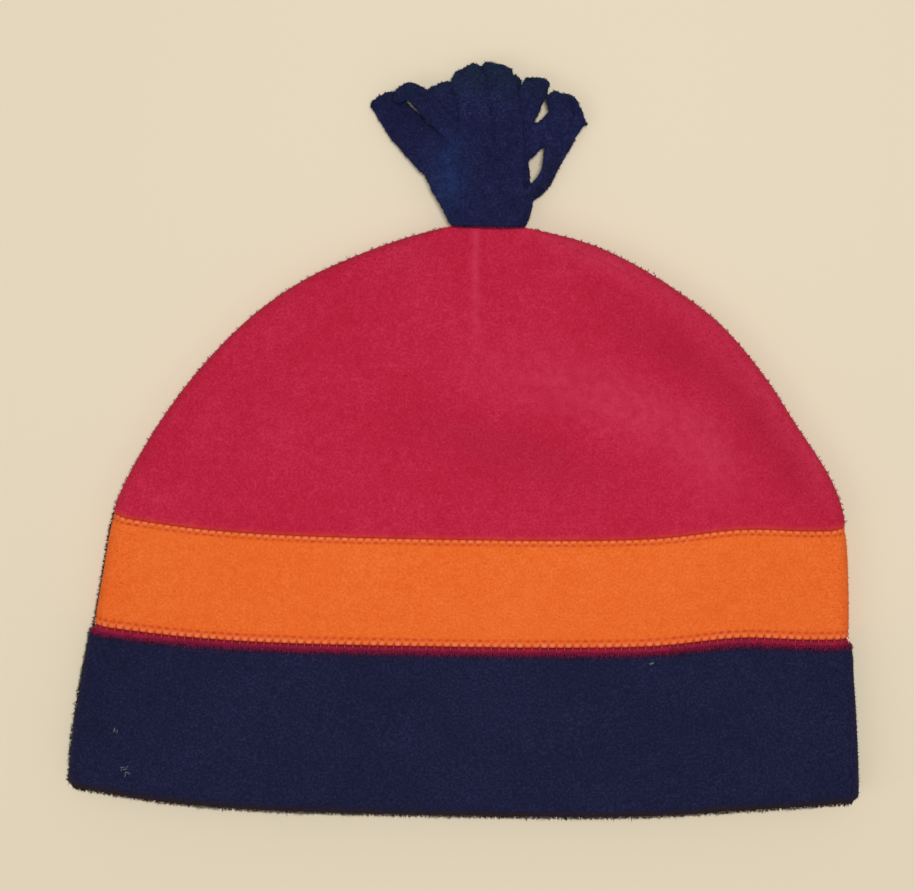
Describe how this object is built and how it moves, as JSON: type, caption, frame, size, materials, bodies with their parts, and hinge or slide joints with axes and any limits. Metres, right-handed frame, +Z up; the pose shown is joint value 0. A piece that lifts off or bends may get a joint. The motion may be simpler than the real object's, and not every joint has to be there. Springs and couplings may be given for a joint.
{
  "type": "hat",
  "caption": "Child's fleece hat lying flat: crimson crown, orange band, folded navy cuff and a navy fringe tassel at the top.",
  "frame": {"origin": "middle of the hat's outline, on the surface that it lies on", "axes": "+Z up out of the hat's front, +Y from the hem towards the tassel, +X across the hat to the right as seen from above"},
  "size_m": [0.2511, 0.2342, 0.0185],
  "materials": {
    "crown_fleece": "matte",
    "band_fleece": "matte",
    "cuff_fleece": "matte",
    "tassel_fleece": "matte"
  },
  "bodies": {
    "root": {"crown_front": "crown_fleece", "crown_back": "crown_fleece", "band": "band_fleece", "cuff": "cuff_fleece", "tassel": "tassel_fleece"}
  },
  "joints": []
}
